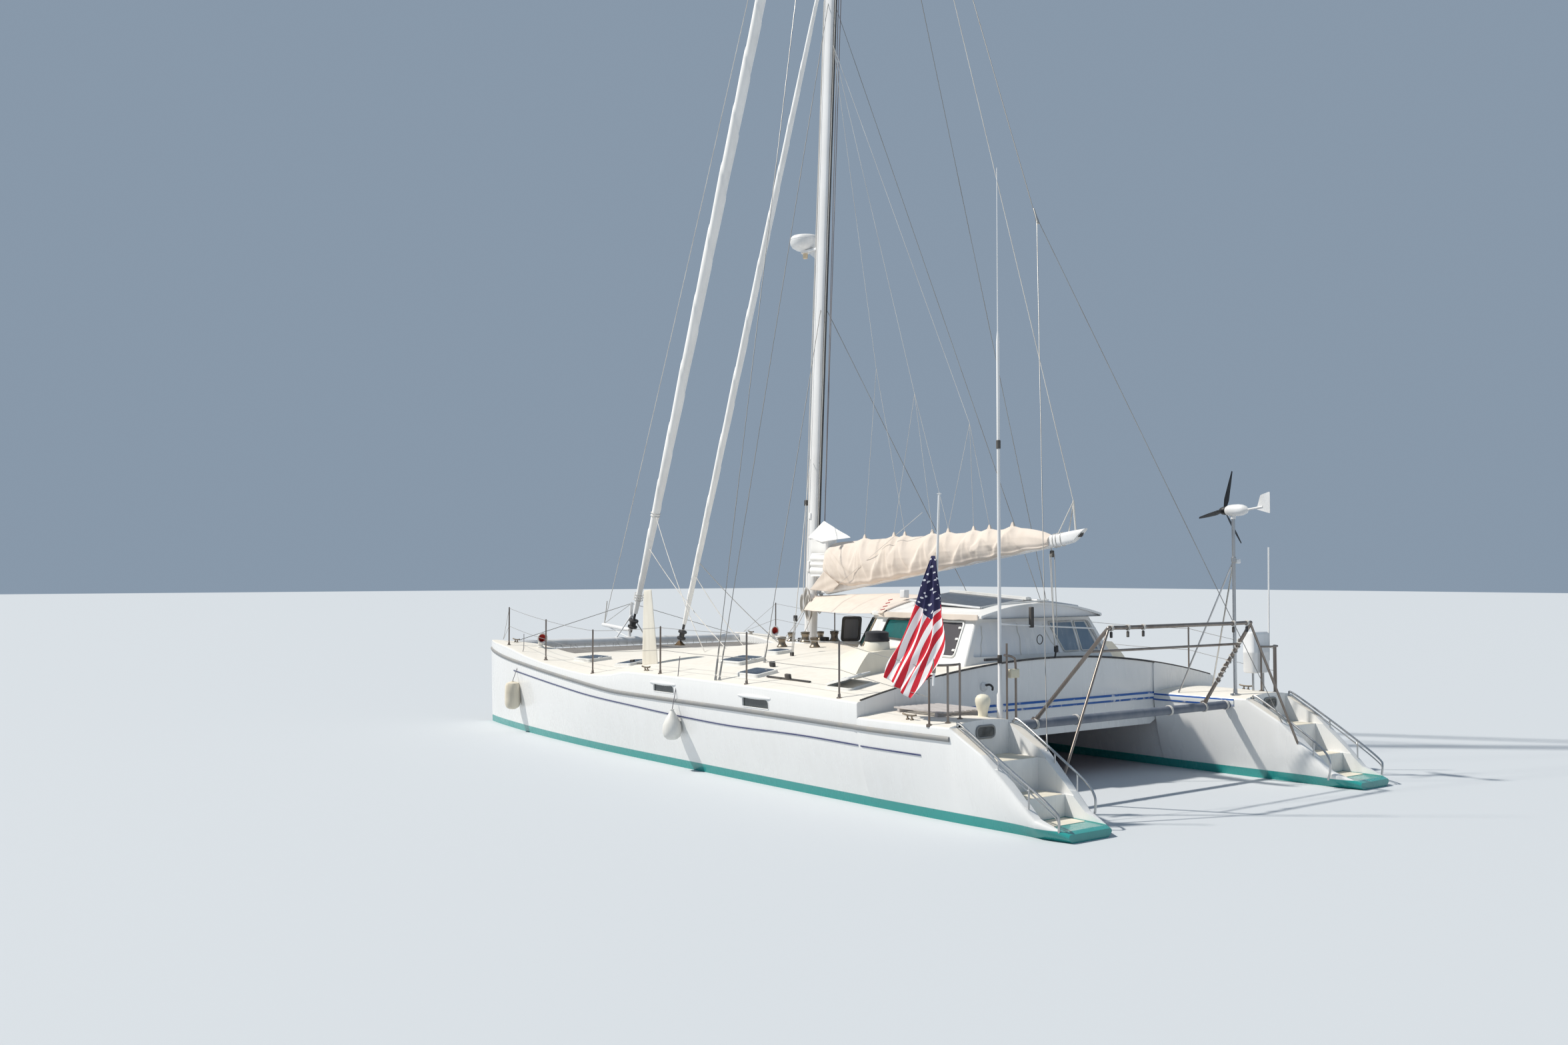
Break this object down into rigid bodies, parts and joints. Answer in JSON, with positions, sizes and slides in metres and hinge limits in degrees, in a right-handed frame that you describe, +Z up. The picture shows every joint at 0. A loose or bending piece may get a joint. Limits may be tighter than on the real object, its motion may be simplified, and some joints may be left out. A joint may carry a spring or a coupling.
{
  "type": "sailing catamaran",
  "caption": "Cruising sailing catamaran with furled headsails, bagged mainsail on its boom, pilothouse, stern steps, daggerboards, twin rudders and propellers, afloat.",
  "frame": {"origin": "amidships on the centreline, at the level of the water that the boat floats in", "axes": "+X towards the bows, +Y to port, +Z up"},
  "size_m": [14.7423, 7.093, 19.811],
  "materials": {
    "gelcoat": "gloss white gelcoat over glass fibre",
    "deck_paint": "matt cream deck with a fine grit",
    "board_gelcoat": "satin, off white",
    "black_paint": "satin black",
    "alloy": "satin",
    "bronze": "worn bronze",
    "tinted_glass": "smoked blue-green",
    "clear_vinyl": "cloudy flexible vinyl",
    "white_paint": "gloss white",
    "solar_cell": "dark cells behind clear glass",
    "canvas": "woven cream canvas",
    "steel": "polished stainless",
    "net": "woven grey net",
    "grey_paint": "satin grey",
    "sailcloth": "rolled sailcloth",
    "flag_cloth": "light woven cloth"
  },
  "bodies": {
    "boat": {"aft_beam": "grey_paint", "backstay": "steel", "bow_gear": "white_paint", "bridgedeck": "deck_paint", "bridle_port": "steel", "bridle_starboard": "steel", "cap_shroud_port": "steel", "cap_shroud_starboard": "steel", "cockpit_curtain": "clear_vinyl", "cockpit_seats": "canvas", "davit_frame": "steel", "ensign": "flag_cloth", "fender_bow": "canvas", "fender_mid": "white_paint", "flagstaff": "white_paint", "forward_beam": "alloy", "genoa": "sailcloth", "helm_pedestal": "white_paint", "house_glass": "tinted_glass", "house_roof": "white_paint", "hull_port": "gelcoat", "hull_starboard": "gelcoat", "lower_shroud_port": "steel", "lower_shroud_starboard": "steel", "mast": "white_paint", "mast_winches": "steel", "pilothouse": "gelcoat", "quarter_locker": "white_paint", "radar": "white_paint", "radio_mast": "white_paint", "rail_port": "steel", "rail_starboard": "steel", "saildrive_port": "alloy", "saildrive_starboard": "alloy", "side_coaming_port": "gelcoat", "side_coaming_starboard": "gelcoat", "solar_panels": "solar_cell", "staysail": "sailcloth", "stern_guard_port": "steel", "stern_guard_starboard": "steel", "sun_awning": "canvas", "trampoline": "net", "turbine_mast": "alloy"},
    "boom": {"boom": "white_paint", "sail_bag": "canvas"},
    "daggerboard_port": {"daggerboard_port": "board_gelcoat"},
    "daggerboard_starboard": {"daggerboard_starboard": "board_gelcoat"},
    "rudder_port": {"rudder_port": "black_paint"},
    "rudder_starboard": {"rudder_starboard": "black_paint"},
    "helm_wheel": {"helm_wheel": "steel"},
    "propeller_port": {"propeller_port": "bronze"},
    "propeller_starboard": {"propeller_starboard": "bronze"},
    "turbine_body": {"turbine_body": "white_paint"},
    "turbine_rotor": {"turbine_rotor": "black_paint"},
    "hatch_fore_port": {"hatch_fore_port": "tinted_glass"},
    "hatch_fore_starboard": {"hatch_fore_starboard": "tinted_glass"},
    "hatch_mid_port": {"hatch_mid_port": "tinted_glass"},
    "hatch_mid_starboard": {"hatch_mid_starboard": "tinted_glass"},
    "hatch_aft_port": {"hatch_aft_port": "tinted_glass"},
    "hatch_mast": {"hatch_mast": "tinted_glass"}
  },
  "joints": [
    {"name": "boom_swing", "type": "hinge", "parent": "boat", "child": "boom", "pos_m": [0.64834, 0, 2.42948], "axis": [-0.0523, 0, 0.9986], "range_deg": [-35, 35]},
    {"name": "daggerboard_port_slide", "type": "slide", "parent": "boat", "child": "daggerboard_port", "axis": [0.0698, 0, 0.9976], "range_m": [-1, 0]},
    {"name": "rudder_port_turn", "type": "hinge", "parent": "boat", "child": "rudder_port", "pos_m": [-5.76, 2.733, -0.3], "axis": [0, 0, 1], "range_deg": [-35, 35]},
    {"name": "propeller_port_spin", "type": "hinge", "parent": "boat", "child": "propeller_port", "pos_m": [-4.25, 2.733, -0.8], "axis": [1, 0, 0], "continuous": true},
    {"name": "daggerboard_starboard_slide", "type": "slide", "parent": "boat", "child": "daggerboard_starboard", "axis": [0.0698, 0, 0.9976], "range_m": [-1, 0]},
    {"name": "rudder_starboard_turn", "type": "hinge", "parent": "boat", "child": "rudder_starboard", "pos_m": [-5.76, -2.733, -0.3], "axis": [0, 0, 1], "range_deg": [-35, 35]},
    {"name": "propeller_starboard_spin", "type": "hinge", "parent": "boat", "child": "propeller_starboard", "pos_m": [-4.25, -2.733, -0.8], "axis": [1, 0, 0], "continuous": true},
    {"name": "helm_wheel_turn", "type": "hinge", "parent": "boat", "child": "helm_wheel", "pos_m": [-2.2203, 0, 1.4], "axis": [1, 0, 0], "range_deg": [-420, 420]},
    {"name": "turbine_yaw", "type": "hinge", "parent": "boat", "child": "turbine_body", "pos_m": [-5.33, -2.33, 3.5], "axis": [0, 0, 1], "continuous": true},
    {"name": "turbine_spin", "type": "hinge", "parent": "turbine_body", "child": "turbine_rotor", "pos_m": [-5.22, -2.33, 3.56], "axis": [1, 0, 0], "continuous": true},
    {"name": "hatch_fore_port_lid", "type": "hinge", "parent": "boat", "child": "hatch_fore_port", "pos_m": [3.77994, 2.56156, 1.30684], "axis": [0.0002, 0.9976, -0.0694], "range_deg": [0, 100]},
    {"name": "hatch_fore_starboard_lid", "type": "hinge", "parent": "boat", "child": "hatch_fore_starboard", "pos_m": [3.77994, -2.56156, 1.30684], "axis": [-0.0002, 0.9976, 0.0694], "range_deg": [0, 100]},
    {"name": "hatch_mid_port_lid", "type": "hinge", "parent": "boat", "child": "hatch_mid_port", "pos_m": [-0.19992, 2.38285, 1.47281], "axis": [-0.0004, 0.9919, -0.1271], "range_deg": [0, 100]},
    {"name": "hatch_mid_starboard_lid", "type": "hinge", "parent": "boat", "child": "hatch_mid_starboard", "pos_m": [-0.19992, -2.38285, 1.47281], "axis": [0.0004, 0.9919, 0.1271], "range_deg": [0, 100]},
    {"name": "hatch_aft_port_lid", "type": "hinge", "parent": "boat", "child": "hatch_aft_port", "pos_m": [-3.26554, 2.92399, 1.36695], "axis": [0.0039, 0.984, -0.178], "range_deg": [-14, 85]},
    {"name": "hatch_mast_lid", "type": "hinge", "parent": "boat", "child": "hatch_mast", "pos_m": [0.3, -0.30537, 1.62385], "axis": [0, 0.9999, 0.0166], "range_deg": [-84, 15]}
  ],
  "couplings": [
    {"joint": "rudder_starboard_turn", "follows": "rudder_port_turn", "ratio": 1},
    {"joint": "helm_wheel_turn", "follows": "rudder_port_turn", "ratio": 12}
  ]
}
